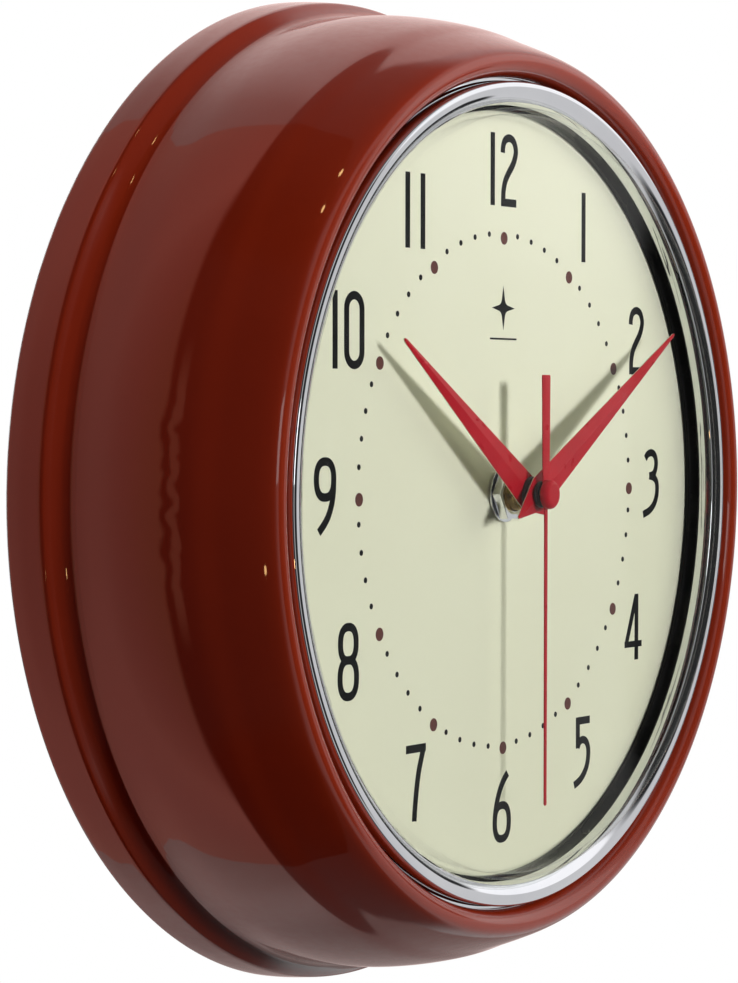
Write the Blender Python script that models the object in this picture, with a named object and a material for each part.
"""Round retro wall clock: turned steel case, chrome bezel, domed lens, printed dial and quartz movement.

Frame: +Z is up to twelve o'clock, +X is towards three o'clock and the dial faces -Y.
Depths below are in millimetres behind the dial's printed face, so a negative depth is in front of it.
The origin lies on the hands' axis, half way between the lens's apex and the wall.
"""

import math

import bmesh
import bpy
from mathutils import Matrix, Vector

MM = 0.001

# Driving dimensions, millimetres
CASE_RADIUS = 120.6
CASE_REAR_DEPTH = 52.1
SHEET = 1.2
LENS_APEX_DEPTH = -17.2
BUMPER_HEIGHT = 1.9
GAP = 0.3
RING_STEPS = 64
SMALL_STEPS = 24
PIN_STEPS = 12

REAR_PLANE_DEPTH = CASE_REAR_DEPTH + GAP + BUMPER_HEIGHT
MID_DEPTH = (LENS_APEX_DEPTH + REAR_PLANE_DEPTH) / 2

# The stack between the case's lip and the clamp ring
STACK_RADIUS = 103.5
DIAL_THICKNESS = 0.8
DIAL_HOLE = 4.2
WALL_FOOT_RADIUS = 91.2
LENS_FLANGE_RADIUS = 96.6
LENS_SIDE_RADIUS = 91.7
LENS_WALL = 1.5
LENS_SHOULDER = 5.2
LENS_SHOULDER_DEPTH = -7.75
CLAMP_FRONT = DIAL_THICKNESS + GAP
CLAMP_REAR = CLAMP_FRONT + 1.2

# Hands: radii, lengths and planes, and the time they show
HOUR_PLANE = -7.0
MINUTE_PLANE = -9.6
SECOND_PLANE = -11.7
HAND_THICKNESS = 0.4
NEEDLE_THICKNESS = 0.3
COLLET_HEIGHT = 1.0
HAND_WIDTH = 9.0
HOUR_LENGTH = 64.7
HOUR_TAIL = 8.9
MINUTE_LENGTH = 77.9
MINUTE_TAIL = 12.0
SECOND_LENGTH = 74.2
COUNTERWEIGHT_LENGTH = 28.4
HOUR_ANGLE = 303.8
MINUTE_ANGLE = 59.5
SECOND_ANGLE = 180.0

# Movement
MOVEMENT_SIDE = 56.0
MOVEMENT_FRONT = 2.4
MOVEMENT_REAR = 17.4
MOVEMENT_WALL = 1.0
PARTITION_Z = -11.2
PLATE_FRONT = 9.8
PLATE_REAR = 10.6
COVER_FRONT = 16.2
BATTERY_RADIUS = 7.25
BATTERY_LENGTH = 50.5
BATTERY_Z = -19.4
BATTERY_DEPTH = 10.6
PIVOT_RADIUS = 0.4
PIVOT_HOLE = 0.75

# Gear train: tooth counts, modules and layers (front and rear depth of each wheel)
ROTOR_MODULE = 0.25
INTERMEDIATE_MODULE = 0.3
THIRD_MODULE = 0.3
THIRD_DISTANCE = (60 + 8) / 2 * THIRD_MODULE
CENTRE_MODULE = 2 * THIRD_DISTANCE / (64 + 8)
SETTING_MODULE = 0.48
SETTING_DISTANCE = (36 + 12) / 2 * SETTING_MODULE
HOUR_MODULE = 2 * SETTING_DISTANCE / (40 + 10)
INTERMEDIATE_DISTANCE = (40 + 8) / 2 * INTERMEDIATE_MODULE
ROTOR_DISTANCE = (36 + 6) / 2 * ROTOR_MODULE
HOUR_LAYER = (4.5, 5.3)
SETTING_LAYER = (5.8, 6.6)
CENTRE_LAYER = (7.1, 7.9)
THIRD_LAYER = (8.4, 9.2)
SECOND_LAYER = (11.1, 11.8)
INTERMEDIATE_LAYER = (12.2, 12.8)
ROTOR_LAYER = (13.1, 15.3)

THIRD_AT = (-THIRD_DISTANCE * math.sin(math.pi / 4), THIRD_DISTANCE * math.cos(math.pi / 4))
SETTING_AT = (SETTING_DISTANCE * math.sin(math.pi / 4), SETTING_DISTANCE * math.cos(math.pi / 4))
INTERMEDIATE_AT = (0.0, INTERMEDIATE_DISTANCE)
ROTOR_AT = (0.0, INTERMEDIATE_DISTANCE + ROTOR_DISTANCE)
AXIS_AT = (0.0, 0.0)
COIL_Z = 20.5
COIL_DEPTH = 13.4
COIL_LENGTH = 26.0

# Wall fixings
HANGER_HALF_WIDTH = 22.0
HANGER_LOW = 88.0
HANGER_HIGH = 116.5
KEYHOLE_Z = 97.0
KEYHOLE_RADIUS = 5.0
KEYHOLE_SLOT = 2.4
KEYHOLE_TOP = 105.0
HANGER_SCREW_X = 15.0
HANGER_SCREW_Z = 114.8
BUMPER_AT_RADIUS = 115.8
BUMPER_ANGLES = (165.0, 195.0)
BRACKET_ANGLES = (45.0, 135.0, 225.0, 315.0)
BRACKET_SCREW_RADIUS = 101.5


def clear_scene():
    for obj in list(bpy.data.objects):
        bpy.data.objects.remove(obj, do_unlink=True)


def material(name, colour, roughness, metallic=0.0):
    mat = bpy.data.materials.new(name)
    mat.use_nodes = True
    shader = mat.node_tree.nodes["Principled BSDF"]
    shader.inputs["Base Color"].default_value = (*colour, 1.0)
    shader.inputs["Roughness"].default_value = roughness
    shader.inputs["Metallic"].default_value = metallic
    return mat


def place(x, depth, z):
    """World position, in metres, of a point given by x, depth and z in millimetres."""
    return Vector((x, depth - MID_DEPTH, z)) * MM


def finish(bm, name, mat, at=AXIS_AT, smooth=True, turn=0.0):
    """Turns a mesh drawn about its own axis at the dial plane into an object on the axis at (x, z)."""
    bmesh.ops.recalc_face_normals(bm, faces=bm.faces)
    mesh = bpy.data.meshes.new(name)
    bm.to_mesh(mesh)
    bm.free()
    mesh.materials.append(mat)
    if smooth:
        mesh.shade_smooth()
        mesh.set_sharp_from_angle(angle=math.radians(35))
    obj = bpy.data.objects.new(name, mesh)
    bpy.context.scene.collection.objects.link(obj)
    obj.location = place(at[0], 0.0, at[1])
    obj.rotation_euler = (0.0, math.radians(turn), 0.0)
    return obj


def turned(name, profile, mat, at=AXIS_AT, steps=RING_STEPS, closed=True):
    """A turned piece. The profile is (radius, depth) points: a loop for a ring, or a line from axis to axis."""
    bm = bmesh.new()
    points = [bm.verts.new((radius * MM, depth * MM, 0.0)) for radius, depth in profile]
    edges = [bm.edges.new(pair) for pair in zip(points, points[1:])]
    if closed:
        edges.append(bm.edges.new((points[-1], points[0])))
    bmesh.ops.spin(
        bm,
        geom=points + edges,
        cent=(0, 0, 0),
        axis=(0, 1, 0),
        angle=math.tau,
        steps=steps,
        use_merge=True,
    )
    bmesh.ops.remove_doubles(bm, verts=bm.verts, dist=1e-7)
    return finish(bm, name, mat, at)


def disc_profile(radius, front, rear):
    return [(0.0, front), (radius, front), (radius, rear), (0.0, rear)]


def ring_profile(inner, outer, front, rear):
    return [(inner, front), (outer, front), (outer, rear), (inner, rear)]


def prism(name, outline, front, rear, mat, at=AXIS_AT, holes=(), turn=0.0, smooth=False):
    """A flat piece cut from sheet: an outline of (x, z) points with holes, between two depths."""
    bm = bmesh.new()
    edges = []
    for loop in (outline, *holes):
        points = [bm.verts.new((x * MM, front * MM, z * MM)) for x, z in loop]
        edges += [bm.edges.new(pair) for pair in zip(points, points[1:] + points[:1])]
    faces = bmesh.ops.triangle_fill(bm, edges=edges, use_beauty=True)["geom"]
    faces = [item for item in faces if isinstance(item, bmesh.types.BMFace)]
    extruded = bmesh.ops.extrude_face_region(bm, geom=faces, use_keep_orig=True)["geom"]
    moved = [item for item in extruded if isinstance(item, bmesh.types.BMVert)]
    bmesh.ops.translate(bm, verts=moved, vec=(0, (rear - front) * MM, 0))
    return finish(bm, name, mat, at, smooth, turn)


def circle(radius, steps=SMALL_STEPS, at=AXIS_AT, start=0.0):
    angles = [start + math.tau * k / steps for k in range(steps)]
    return [(at[0] + radius * math.sin(a), at[1] + radius * math.cos(a)) for a in angles]


def rectangle(left, right, low, high, corner=0.0, corner_steps=3):
    """A rectangle's outline, with rounded corners where corner is over zero."""
    if corner <= 0:
        return [(left, low), (right, low), (right, high), (left, high)]
    centres = (
        (right - corner, high - corner, 0),
        (right - corner, low + corner, 90),
        (left + corner, low + corner, 180),
        (left + corner, high - corner, 270),
    )
    outline = []
    for x, z, first in centres:
        for k in range(corner_steps + 1):
            a = math.radians(first + 90 * k / corner_steps)
            outline.append((x + corner * math.sin(a), z + corner * math.cos(a)))
    return outline


def hide(cutter):
    cutter.hide_render = True
    cutter.display_type = "WIRE"


def boolean(target, other, operation):
    modifier = target.modifiers.new(other.name, "BOOLEAN")
    modifier.operation = operation
    modifier.solver = "EXACT"
    modifier.object = other
    hide(other)


def cut(target, *cutters):
    for cutter in cutters:
        boolean(target, cutter, "DIFFERENCE")


def unite(target, *others):
    for other in others:
        boolean(target, other, "UNION")


def hole_cutter(name, radius, front, rear, at, mat, steps=PIN_STEPS):
    return turned(name, disc_profile(radius, front, rear), mat, at, steps, closed=False)


# Case, bezel, lens and dial


def arc(centre, radius, first, last, steps):
    """(radius, depth) points on a circle. Angle 0 points outward and 90 points to the rear."""
    points = []
    for k in range(steps + 1):
        a = math.radians(first + (last - first) * k / steps)
        points.append((centre[0] + radius * math.cos(a), centre[1] + radius * math.sin(a)))
    return points


def case_profile():
    lip = arc((102.6, -7.4), 2.05, -60, -165, 5)
    outer = [
        (CASE_RADIUS, CASE_REAR_DEPTH - 0.9),
        (119.9, 43.4),
        (119.5, 42.4),
        (117.6, 41.6),
        (116.0, 40.0),
        (115.6, 37.5),
        (115.8, 32.0),
        (115.6, 27.0),
        (114.5, 19.0),
        (113.1, 12.3),
        (111.7, 7.4),
        (109.4, 3.1),
        (107.6, -2.4),
        (105.6, -6.8),
    ]
    inner = [
        (98.7, -4.1),
        (99.9, -4.1),
        (101.7, -6.4),
        (104.3, -5.6),
        (108.0, 3.4),
        (111.8, 12.6),
        (114.4, 27.2),
        (114.4, 38.2),
        (116.4, 42.4),
        (118.6, 43.8),
        (CASE_RADIUS - SHEET, CASE_REAR_DEPTH - SHEET),
        (112.0, CASE_REAR_DEPTH - SHEET),
        (112.0, CASE_REAR_DEPTH),
        (CASE_RADIUS - 0.9, CASE_REAR_DEPTH),
    ]
    return outer + lip + inner


def make_case(red):
    case = turned("case_shell", case_profile(), red)
    for side in (-1, 1):
        cutter = hole_cutter(
            f"case_screw_cutter_{side}",
            1.8,
            CASE_REAR_DEPTH - 4,
            CASE_REAR_DEPTH + 2,
            (side * HANGER_SCREW_X, HANGER_SCREW_Z),
            red,
        )
        cut(case, cutter)


def make_bezel(chrome):
    profile = [
        (92.3, -4.35),
        (92.8, -7.1),
        (94.4, -8.15),
        (95.9, -8.55),
        (97.1, -8.5),
        (97.85, -7.5),
        (97.85, -3.7),
        (STACK_RADIUS, -3.7),
        (STACK_RADIUS, -2.9),
        (97.0, -2.9),
        (97.0, -7.3),
        (95.3, -7.6),
        (93.5, -6.7),
        (93.15, -4.6),
        (92.7, -3.85),
    ]
    turned("bezel_ring", profile, chrome)


def make_gasket(rubber):
    profile = [(92.6, -3.3), (96.7, -3.3), (96.7, -5.6), (94.2, -4.5), (92.6, -3.55)]
    turned("lens_gasket", profile, rubber)


def dome(apex, edge_radius, edge_depth, steps):
    """Points on a shallow sphere from the axis to its edge."""
    rise = edge_depth - apex
    sphere = (edge_radius**2 + rise**2) / (2 * rise)
    points = []
    for k in range(steps + 1):
        radius = edge_radius * k / steps
        points.append((radius, apex + sphere - math.sqrt(sphere**2 - radius**2)))
    return points


def make_lens(clear):
    shoulder_centre = (LENS_SIDE_RADIUS - LENS_SHOULDER, LENS_SHOULDER_DEPTH)
    outer_shoulder = arc(shoulder_centre, LENS_SHOULDER, -82, 0, 4)
    inner_shoulder = arc(shoulder_centre, LENS_SHOULDER - LENS_WALL, 0, -82, 3)
    outer = dome(LENS_APEX_DEPTH, *outer_shoulder[0], 3)[:-1]
    inner = dome(LENS_APEX_DEPTH + LENS_WALL, *inner_shoulder[-1], 3)[:-1]
    flange = [
        (LENS_SIDE_RADIUS, -3.0),
        (LENS_FLANGE_RADIUS, -3.0),
        (LENS_FLANGE_RADIUS, -1.75),
        (LENS_SIDE_RADIUS - LENS_WALL, -1.75),
    ]
    profile = outer + outer_shoulder + flange + inner_shoulder + inner[::-1]
    turned("glass_lens", profile, clear, closed=False)


def make_spacer(black):
    profile = [
        (WALL_FOOT_RADIUS, -GAP),
        (STACK_RADIUS, -GAP),
        (STACK_RADIUS, -2.6),
        (97.0, -2.6),
        (97.0, -1.4),
        (WALL_FOOT_RADIUS + 0.2, -1.4),
    ]
    turned("dial_spacer_ring", profile, black)


def make_dial(cream):
    profile = ring_profile(DIAL_HOLE, STACK_RADIUS, 0.0, DIAL_THICKNESS)
    turned("dial_plate", profile, cream)


def make_clamp(steel, dark_steel):
    """The ring that presses the dial, lens and bezel forward, with the brackets and screws that push it."""
    turned("dial_clamp_ring", ring_profile(95.0, 104.5, CLAMP_FRONT, CLAMP_REAR), steel)
    leg_front = 12.0
    for number, angle in enumerate(BRACKET_ANGLES, start=1):
        a = math.radians(angle)
        screw_at = (BRACKET_SCREW_RADIUS * math.sin(a), BRACKET_SCREW_RADIUS * math.cos(a))
        make_bracket(f"clamp_bracket_{number}", angle, leg_front, screw_at, steel)
        head = leg_front + SHEET + GAP
        profile = [
            (0.0, CLAMP_REAR + GAP),
            (1.25, CLAMP_REAR + GAP),
            (1.25, head),
            (2.8, head),
            (2.8, head + 1.2),
            (2.0, head + 2.0),
            (0.9, head + 2.0),
            (0.0, head + 1.1),
        ]
        turned(f"clamp_screw_{number}", profile, dark_steel, screw_at, PIN_STEPS, closed=False)


def make_bracket(name, angle, leg_front, screw_at, steel):
    """An L of folded sheet welded to the case's wall. Its short leg holds the screw."""
    half_width = 6.0
    inner, outer = 98.0, 111.2
    short_leg = [
        (-half_width, inner),
        (half_width, inner),
        (half_width, outer),
        (-half_width, outer),
    ]
    long_leg = [
        (-half_width, outer - SHEET),
        (half_width, outer - SHEET),
        (half_width, outer),
        (-half_width, outer),
    ]
    bracket = prism(name, short_leg, leg_front, leg_front + SHEET, steel, turn=angle)
    upright = prism(f"{name}_leg", long_leg, leg_front, leg_front + 10.0, steel, turn=angle)
    unite(bracket, upright)
    cut(bracket, hole_cutter(f"{name}_hole", 1.6, leg_front - 2, leg_front + 4, screw_at, steel))


# Hands


def kite(length, tail, half_width, half_tip):
    """A lance-shaped hand pointing to twelve, widest at its hub, with a pointed tail."""
    return [
        (-half_width, 0.0),
        (-half_tip, length - 0.6),
        (0.0, length),
        (half_tip, length - 0.6),
        (half_width, 0.0),
        (0.35, -tail),
        (-0.35, -tail),
    ]


def make_hands(red, black):
    hub_steps = 16
    prism(
        "hour_hand",
        kite(HOUR_LENGTH, HOUR_TAIL, HAND_WIDTH / 2, 0.7),
        HOUR_PLANE - HAND_THICKNESS,
        HOUR_PLANE,
        red,
        holes=[circle(2.85, hub_steps)],
        turn=HOUR_ANGLE,
    )
    prism(
        "minute_hand",
        kite(MINUTE_LENGTH, MINUTE_TAIL, HAND_WIDTH / 2, 0.7),
        MINUTE_PLANE - HAND_THICKNESS,
        MINUTE_PLANE,
        red,
        holes=[circle(1.85, hub_steps)],
        turn=MINUTE_ANGLE,
    )
    needle = [
        (-0.55, SECOND_LENGTH),
        (0.55, SECOND_LENGTH),
        (0.7, 0.0),
        (1.4, -3.0),
        (1.75, -COUNTERWEIGHT_LENGTH),
        (-1.75, -COUNTERWEIGHT_LENGTH),
        (-1.4, -3.0),
        (-0.7, 0.0),
    ]
    hub = circle(2.2, hub_steps)
    second = prism(
        "second_hand",
        needle,
        SECOND_PLANE - NEEDLE_THICKNESS,
        SECOND_PLANE,
        red,
        turn=SECOND_ANGLE,
    )
    disc = prism("second_hand_hub", hub, SECOND_PLANE - NEEDLE_THICKNESS, SECOND_PLANE, red)
    unite(second, disc)
    arbor_bore = hole_cutter(
        "second_hand_bore", 0.8, SECOND_PLANE - 2, SECOND_PLANE + 2, AXIS_AT, red
    )
    cut(second, arbor_bore)
    make_collets(red, black)


def make_collets(red, black):
    """The pressed bushes that carry the hands, and the cap over the second arbor."""
    hour_rear = HOUR_PLANE - HAND_THICKNESS - GAP
    turned(
        "hour_hand_collet",
        ring_profile(2.85, 4.2, hour_rear - COLLET_HEIGHT, hour_rear),
        black,
        steps=SMALL_STEPS,
    )
    minute_rear = MINUTE_PLANE - HAND_THICKNESS - GAP
    turned(
        "minute_hand_collet",
        ring_profile(1.85, 3.15, minute_rear - COLLET_HEIGHT, minute_rear),
        black,
        steps=SMALL_STEPS,
    )
    cap_rear = SECOND_PLANE - NEEDLE_THICKNESS - GAP
    cap = [
        (0.0, cap_rear - 1.9),
        (2.4, cap_rear - 1.8),
        (3.2, cap_rear - 1.4),
        (3.5, cap_rear - 0.8),
        (3.5, cap_rear),
        (0.0, cap_rear),
    ]
    turned("second_hand_cap", cap, red, steps=SMALL_STEPS, closed=False)


# Movement


def make_housing(black):
    half = MOVEMENT_SIDE / 2
    inside = half - MOVEMENT_WALL
    outline = rectangle(-half, half, -half, half, 2.5)
    housing = prism("movement_housing", outline, MOVEMENT_FRONT, MOVEMENT_REAR, black)
    train_space = prism(
        "train_space",
        rectangle(-inside, inside, PARTITION_Z + 0.6, inside),
        MOVEMENT_FRONT + 1.5,
        MOVEMENT_REAR + 1,
        black,
    )
    battery_space = prism(
        "battery_space",
        rectangle(-inside, inside, -inside, PARTITION_Z - 0.6),
        MOVEMENT_FRONT + 0.65,
        MOVEMENT_REAR + 1,
        black,
    )
    bush_hole = hole_cutter("bush_hole", 4.2, 0, 6, AXIS_AT, black, SMALL_STEPS)
    pivots = [
        hole_cutter(f"front_pivot_{k}", PIVOT_HOLE, MOVEMENT_FRONT + 0.6, 5, at, black)
        for k, at in enumerate((THIRD_AT, SETTING_AT))
    ]
    cut(housing, train_space, battery_space, bush_hole, *pivots)
    make_movement_plates(black, inside)


def make_movement_plates(black, inside):
    outline = rectangle(-inside + GAP, inside - GAP, PARTITION_Z + 0.6 + GAP, inside - GAP)
    small = [circle(PIVOT_HOLE, PIN_STEPS, at) for at in (THIRD_AT, INTERMEDIATE_AT, ROTOR_AT)]
    through = [circle(1.8, PIN_STEPS), circle(1.2, PIN_STEPS, SETTING_AT)]
    prism(
        "middle_plate", outline, PLATE_FRONT, PLATE_REAR, black, holes=[*small, *through]
    )
    cover = prism(
        "movement_cover",
        outline,
        COVER_FRONT,
        MOVEMENT_REAR,
        black,
        holes=[circle(1.7, PIN_STEPS, SETTING_AT)],
    )
    pivots = [
        hole_cutter(f"rear_pivot_{k}", PIVOT_HOLE, COVER_FRONT - 1, COVER_FRONT + 0.7, at, black)
        for k, at in enumerate((AXIS_AT, INTERMEDIATE_AT, ROTOR_AT))
    ]
    cut(cover, *pivots)


def make_fixing(brass, chrome, rubber):
    """The threaded bush that carries the movement on the dial, with its washers and nut."""
    bush = [
        (2.95, -5.2),
        (3.6, -5.2),
        (3.85, -4.9),
        (3.85, CLAMP_FRONT),
        (5.6, CLAMP_FRONT),
        (5.6, MOVEMENT_FRONT - GAP),
        (3.85, MOVEMENT_FRONT - GAP),
        (3.85, 3.9),
        (2.95, 3.9),
    ]
    turned("threaded_bush", bush, brass, steps=SMALL_STEPS)
    rubber_ring = ring_profile(6.0, 12.0, CLAMP_FRONT, MOVEMENT_FRONT - GAP)
    turned("rubber_washer", rubber_ring, rubber, steps=SMALL_STEPS)
    turned("bush_washer", ring_profile(4.2, 6.8, -0.8, -GAP), chrome, steps=SMALL_STEPS)
    corner_radius = 6.0 / math.cos(math.pi / 6)
    nut = prism(
        "bush_nut",
        circle(corner_radius, 6, start=math.pi / 6),
        -3.4,
        -0.8 - GAP,
        chrome,
        holes=[circle(4.2)],
    )
    chamfer = nut.modifiers.new("chamfer", "BEVEL")
    chamfer.width = 0.25 * MM
    chamfer.segments = 1
    chamfer.limit_method = "ANGLE"
    chamfer.angle_limit = math.radians(50)


def gear_outline(teeth, module, towards, pinion=False):
    """A toothed outline. A wheel has a tooth, and a pinion a gap, at the angle called towards."""
    addendum, dedendum = (0.6, 1.1) if pinion else (0.7, 1.0)
    tip = module * (teeth / 2 + addendum)
    root = module * (teeth / 2 - dedendum)
    half_pitch = math.pi / teeth
    outline = []
    for k in range(teeth):
        centre = towards + 2 * half_pitch * k + (half_pitch if pinion else 0.0)
        roots = (-0.35, 0.35) if pinion else (-1.0,)
        corners = [(root, roots[0]), (tip, -0.1), (tip, 0.1)]
        if pinion:
            corners.append((root, roots[1]))
        for radius, share in corners:
            a = centre + share * half_pitch
            outline.append((radius * math.sin(a), radius * math.cos(a)))
    return outline


def bearing(origin, target):
    """The angle, clockwise from twelve as seen from the front, from one axis to another."""
    return math.atan2(target[0] - origin[0], target[1] - origin[1])


def arbor(name, at, segments, mat, steps=PIN_STEPS):
    """A stepped shaft: (radius, front, rear) for each length, front to rear."""
    profile = [(0.0, segments[0][1])]
    for radius, front, rear in segments:
        profile += [(radius, front), (radius, rear)]
    profile.append((0.0, segments[-1][2]))
    return turned(name, profile, mat, at, steps, closed=False)


def tube(name, inner, outer, front, rear, mat):
    return turned(name, ring_profile(inner, outer, front, rear), mat, steps=PIN_STEPS)


def make_train(plastic, brass, magnet):
    make_centre_wheel(brass)
    make_hour_wheel(plastic)
    make_second_wheel(plastic)
    make_third_wheel(plastic)
    make_setting_wheel(plastic)
    make_intermediate_wheel(plastic)
    make_rotor(plastic, magnet)


def make_centre_wheel(brass):
    """Wheel of 64, pinion of 12 and the long tube that carries the minute hand."""
    wheel = prism(
        "centre_wheel",
        gear_outline(64, CENTRE_MODULE, bearing(AXIS_AT, THIRD_AT)),
        *CENTRE_LAYER,
        brass,
        holes=[circle(0.85, PIN_STEPS)],
    )
    pinion = prism(
        "centre_pinion",
        gear_outline(12, SETTING_MODULE, bearing(AXIS_AT, SETTING_AT), pinion=True),
        SETTING_LAYER[0],
        CENTRE_LAYER[0] + 0.3,
        brass,
        holes=[circle(0.85, PIN_STEPS)],
    )
    shaft = tube("minute_tube", 0.85, 1.5, -11.2, CENTRE_LAYER[1] + 0.2, brass)
    unite(wheel, pinion, shaft)


def make_hour_wheel(plastic):
    """Wheel of 40 with the tube that carries the hour hand."""
    wheel = prism(
        "hour_wheel",
        gear_outline(40, HOUR_MODULE, bearing(AXIS_AT, SETTING_AT)),
        *HOUR_LAYER,
        plastic,
        holes=[circle(1.85, PIN_STEPS)],
    )
    shaft = tube("hour_tube", 1.85, 2.5, -8.7, HOUR_LAYER[0] + 0.4, plastic)
    unite(wheel, shaft)


def make_second_wheel(plastic):
    """Wheel of 40 and pinion of 8 on the arbor that carries the second hand."""
    shaft = arbor(
        "second_wheel",
        AXIS_AT,
        [(0.5, -12.2, COVER_FRONT - GAP), (PIVOT_RADIUS, COVER_FRONT - GAP, COVER_FRONT + 0.4)],
        plastic,
    )
    wheel = prism(
        "second_wheel_disc",
        gear_outline(40, INTERMEDIATE_MODULE, bearing(AXIS_AT, INTERMEDIATE_AT)),
        *SECOND_LAYER,
        plastic,
    )
    pinion = prism(
        "second_wheel_pinion",
        gear_outline(8, THIRD_MODULE, bearing(AXIS_AT, THIRD_AT), pinion=True),
        THIRD_LAYER[0] - 0.1,
        SECOND_LAYER[0] + 0.2,
        plastic,
    )
    unite(shaft, wheel, pinion)


def make_third_wheel(plastic):
    shaft = arbor(
        "third_wheel",
        THIRD_AT,
        [
            (PIVOT_RADIUS, 3.4, 4.2),
            (0.7, 4.2, PLATE_FRONT - GAP),
            (PIVOT_RADIUS, PLATE_FRONT - GAP, PLATE_REAR),
        ],
        plastic,
    )
    wheel = prism(
        "third_wheel_disc",
        gear_outline(60, THIRD_MODULE, bearing(THIRD_AT, AXIS_AT)),
        *THIRD_LAYER,
        plastic,
        at=THIRD_AT,
    )
    pinion = prism(
        "third_wheel_pinion",
        gear_outline(8, CENTRE_MODULE, bearing(THIRD_AT, AXIS_AT), pinion=True),
        CENTRE_LAYER[0] - 0.2,
        THIRD_LAYER[0] + 0.2,
        plastic,
        at=THIRD_AT,
    )
    unite(shaft, wheel, pinion)


def make_setting_wheel(plastic):
    """Wheel of 36 and pinion of 10 on the shaft that the knob turns."""
    shaft = arbor(
        "setting_wheel",
        SETTING_AT,
        [(PIVOT_RADIUS, 3.4, 4.2), (0.8, 4.2, COVER_FRONT)],
        plastic,
    )
    wheel = prism(
        "setting_wheel_disc",
        gear_outline(36, SETTING_MODULE, bearing(SETTING_AT, AXIS_AT)),
        *SETTING_LAYER,
        plastic,
        at=SETTING_AT,
    )
    pinion = prism(
        "setting_wheel_pinion",
        gear_outline(10, HOUR_MODULE, bearing(SETTING_AT, AXIS_AT), pinion=True),
        HOUR_LAYER[0] - 0.1,
        SETTING_LAYER[0] + 0.2,
        plastic,
        at=SETTING_AT,
    )
    unite(shaft, wheel, pinion)


def make_intermediate_wheel(plastic):
    shaft = arbor(
        "intermediate_wheel",
        INTERMEDIATE_AT,
        [
            (PIVOT_RADIUS, PLATE_FRONT + 0.2, PLATE_REAR + GAP),
            (0.6, PLATE_REAR + GAP, COVER_FRONT - GAP),
            (PIVOT_RADIUS, COVER_FRONT - GAP, COVER_FRONT + 0.4),
        ],
        plastic,
    )
    wheel = prism(
        "intermediate_disc",
        gear_outline(36, ROTOR_MODULE, bearing(INTERMEDIATE_AT, ROTOR_AT)),
        *INTERMEDIATE_LAYER,
        plastic,
        at=INTERMEDIATE_AT,
    )
    pinion = prism(
        "intermediate_pinion",
        gear_outline(8, INTERMEDIATE_MODULE, bearing(INTERMEDIATE_AT, AXIS_AT), pinion=True),
        SECOND_LAYER[0] - 0.1,
        INTERMEDIATE_LAYER[0] + 0.2,
        plastic,
        at=INTERMEDIATE_AT,
    )
    unite(shaft, wheel, pinion)


def make_rotor(plastic, magnet):
    """The motor's magnet on its arbor, with a pinion of 6."""
    shaft = arbor(
        "rotor",
        ROTOR_AT,
        [
            (PIVOT_RADIUS, PLATE_FRONT + 0.2, PLATE_REAR + GAP),
            (0.5, PLATE_REAR + GAP, ROTOR_LAYER[0]),
            (2.0, *ROTOR_LAYER),
            (PIVOT_RADIUS, ROTOR_LAYER[1], COVER_FRONT + 0.4),
        ],
        magnet,
        SMALL_STEPS,
    )
    pinion = prism(
        "rotor_pinion",
        gear_outline(6, ROTOR_MODULE, bearing(ROTOR_AT, INTERMEDIATE_AT), pinion=True),
        INTERMEDIATE_LAYER[0] - 0.1,
        ROTOR_LAYER[0] + 0.1,
        plastic,
        at=ROTOR_AT,
    )
    unite(shaft, pinion)


def make_motor(steel, copper, white):
    """The stator's laminated loop with the coil on its upper bar."""
    outline = rectangle(-17.5, 17.5, 9.9, 21.3)
    stator = prism(
        "stator",
        outline,
        13.0,
        13.8,
        steel,
        holes=[circle(2.5, SMALL_STEPS, ROTOR_AT), rectangle(-14.5, 14.5, 15.2, 19.7)],
    )
    half = COIL_LENGTH / 2
    bobbin = [
        (1.25, -half),
        (2.6, -half),
        (2.6, -half + 0.8),
        (1.6, -half + 0.8),
        (1.6, half - 0.8),
        (2.6, half - 0.8),
        (2.6, half),
        (1.25, half),
    ]
    lay_along_x(turned("coil_bobbin", bobbin, white, steps=PIN_STEPS))
    winding = ring_profile(1.95, 2.45, -half + 1.1, half - 1.1)
    lay_along_x(turned("coil_winding", winding, copper, steps=PIN_STEPS))


def lay_along_x(obj, x=0.0, depth=COIL_DEPTH, z=COIL_Z):
    """Turns a piece drawn about the depth axis so that its rear end points to +X."""
    obj.matrix_world = Matrix.Translation(place(x, depth, z)) @ Matrix.Rotation(
        -math.pi / 2, 4, "Z"
    )


def make_electronics(green, black, steel):
    prism("circuit_board", rectangle(-25.0, -9.0, -8.5, 15.0), 11.2, 12.2, green)
    chip = rectangle(-20.5, -15.5, -4.5, 0.5, 1.0)
    prism("controller_chip", chip, 12.5, 13.7, black)
    crystal = [
        (0.0, -3.2),
        (0.9, -3.2),
        (1.0, -3.0),
        (1.0, 2.9),
        (0.9, 3.1),
        (0.0, 3.1),
    ]
    can = turned("quartz_crystal", crystal, steel, steps=PIN_STEPS, closed=False)
    lay_along_x(can, -18.0, 13.6, 5.5)


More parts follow.
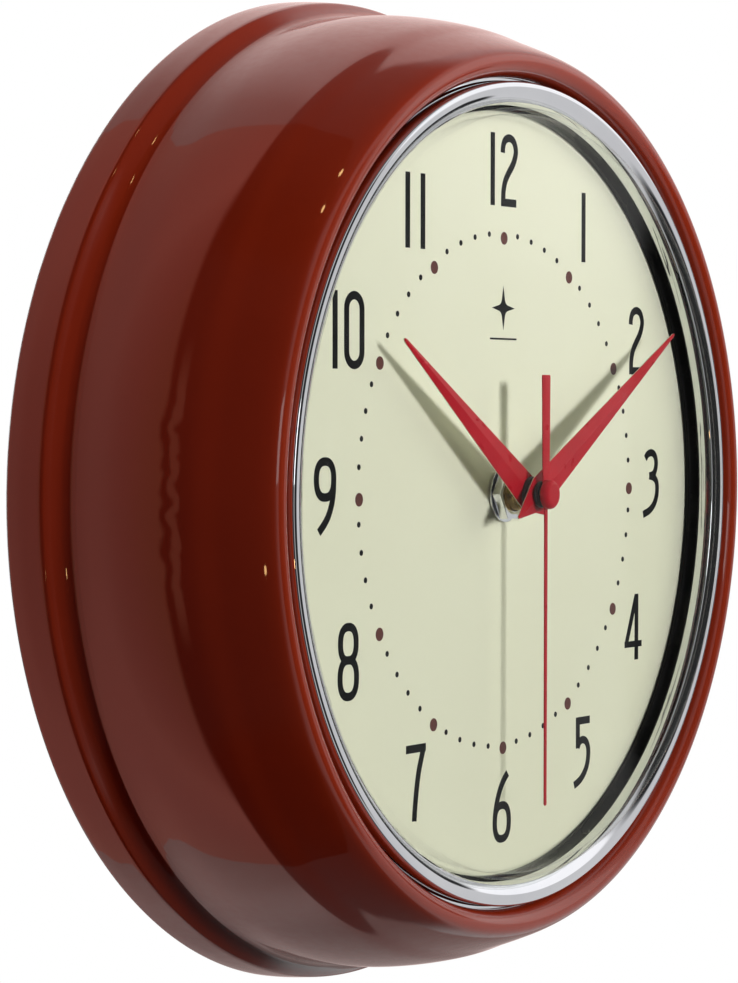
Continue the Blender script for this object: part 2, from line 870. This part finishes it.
def make_battery(jacket, steel):
    half = BATTERY_LENGTH / 2
    profile = [
        (0.0, -half),
        (6.2, -half),
        (BATTERY_RADIUS, -half + 0.6),
        (BATTERY_RADIUS, half - 1.9),
        (6.6, half - 1.3),
        (2.75, half - 1.3),
        (2.6, half),
        (0.0, half),
    ]
    cell = turned("battery_cell", profile, jacket, steps=SMALL_STEPS, closed=False)
    lay_along_x(cell, 0.0, BATTERY_DEPTH, BATTERY_Z)
    for name, side, boss in (("contact_positive", 1, 0.25), ("contact_negative", -1, 0.5)):
        plate = half + 0.9
        profile = [
            (0.0, -side * (plate - boss)),
            (2.2, -side * (plate - boss)),
            (3.0, -side * plate),
            (5.2, -side * plate),
            (5.2, -side * (plate + 0.4)),
            (0.0, -side * (plate + 0.4)),
        ]
        contact = turned(name, profile, steel, steps=SMALL_STEPS, closed=False)
        lay_along_x(contact, 0.0, BATTERY_DEPTH, BATTERY_Z)
        contact.matrix_world = contact.matrix_world @ Matrix.Rotation(math.pi, 4, "Z")


def make_knob(black):
    """The serrated knob on the setting shaft, behind the movement's cover."""
    grip = MOVEMENT_REAR + 0.4
    outline = []
    for k in range(24):
        radius = 5.4 if k % 2 else 5.0
        a = math.tau * k / 24
        outline.append((radius * math.sin(a), radius * math.cos(a)))
    knob = prism("setting_knob", outline, grip, grip + 1.8, black, at=SETTING_AT)
    stem = hole_cutter("knob_stem", 1.2, COVER_FRONT + GAP, grip + 0.5, SETTING_AT, black)
    unite(knob, stem)


# Wall fixings


def make_hanger(steel, dark_steel):
    """The keyhole plate in front of the case's rear flange, with its two screws."""
    rear = CASE_REAR_DEPTH - SHEET - GAP
    front = rear - SHEET
    plate = rectangle(-HANGER_HALF_WIDTH, HANGER_HALF_WIDTH, HANGER_LOW, HANGER_HIGH, 3.0)
    screw_holes = [
        circle(1.8, PIN_STEPS, (side * HANGER_SCREW_X, HANGER_SCREW_Z)) for side in (-1, 1)
    ]
    prism("hanger_plate", plate, front, rear, steel, holes=[keyhole(), *screw_holes])
    for number, side in enumerate((-1, 1), start=1):
        at = (side * HANGER_SCREW_X, HANGER_SCREW_Z)
        profile = [
            (0.0, front - 2.0),
            (1.4, front - 2.0),
            (1.4, CASE_REAR_DEPTH + GAP),
            (3.0, CASE_REAR_DEPTH + GAP),
            (2.6, CASE_REAR_DEPTH + 1.4),
            (1.0, CASE_REAR_DEPTH + 1.6),
            (0.0, CASE_REAR_DEPTH + 0.9),
        ]
        turned(f"hanger_screw_{number}", profile, dark_steel, at, PIN_STEPS, closed=False)


def keyhole():
    """A round entry with a narrow slot above it, as one outline."""
    slot_angle = math.asin(KEYHOLE_SLOT / KEYHOLE_RADIUS)
    outline = []
    steps = 14
    for k in range(steps + 1):
        a = slot_angle + (math.tau - 2 * slot_angle) * k / steps
        outline.append((KEYHOLE_RADIUS * math.sin(a), KEYHOLE_Z + KEYHOLE_RADIUS * math.cos(a)))
    for k in range(7):
        a = -math.pi / 2 + math.pi * k / 6
        outline.append((KEYHOLE_SLOT * math.sin(a), KEYHOLE_TOP + KEYHOLE_SLOT * math.cos(a)))
    return outline


def make_bumpers(rubber):
    for number, angle in enumerate(BUMPER_ANGLES, start=1):
        a = math.radians(angle)
        at = (BUMPER_AT_RADIUS * math.sin(a), BUMPER_AT_RADIUS * math.cos(a))
        profile = [
            (0.0, CASE_REAR_DEPTH + GAP),
            (3.6, CASE_REAR_DEPTH + GAP),
            (3.6, REAR_PLANE_DEPTH - 0.5),
            (3.1, REAR_PLANE_DEPTH),
            (0.0, REAR_PLANE_DEPTH),
        ]
        turned(f"wall_bumper_{number}", profile, rubber, at, SMALL_STEPS, closed=False)


def main():
    clear_scene()
    red = material("gloss_red_paint", (0.26, 0.018, 0.007), 0.12)
    chrome = material("chrome", (0.82, 0.83, 0.85), 0.06, 1.0)
    rubber = material("black_rubber", (0.02, 0.02, 0.02), 0.8)
    clear = material("clear_lens", (0.95, 0.97, 0.96), 0.02)
    black = material("black_plastic", (0.015, 0.015, 0.016), 0.35)
    cream = material("cream_dial", (0.72, 0.72, 0.56), 0.5)
    steel = material("plated_steel", (0.55, 0.56, 0.57), 0.35, 1.0)
    dark_steel = material("dark_screw_steel", (0.2, 0.2, 0.21), 0.4, 1.0)
    hand_red = material("red_hand_paint", (0.45, 0.012, 0.03), 0.3)
    brass = material("brass", (0.7, 0.5, 0.2), 0.3, 1.0)
    gear_white = material("white_gear_plastic", (0.75, 0.75, 0.72), 0.45)
    magnet = material("magnet", (0.12, 0.12, 0.12), 0.5, 1.0)
    copper = material("copper_wire", (0.7, 0.28, 0.12), 0.35, 1.0)
    green = material("green_board", (0.03, 0.2, 0.07), 0.5)
    jacket = material("battery_jacket", (0.05, 0.09, 0.2), 0.3)

    make_case(red)
    make_bezel(chrome)
    make_gasket(rubber)
    make_lens(clear)
    make_spacer(black)
    make_dial(cream)
    make_clamp(steel, dark_steel)
    make_hands(hand_red, black)
    make_housing(black)
    make_fixing(brass, chrome, rubber)
    make_train(gear_white, brass, magnet)
    make_motor(steel, copper, gear_white)
    make_electronics(green, black, steel)
    make_battery(jacket, steel)
    make_knob(black)
    make_hanger(steel, dark_steel)
    make_bumpers(rubber)


main()
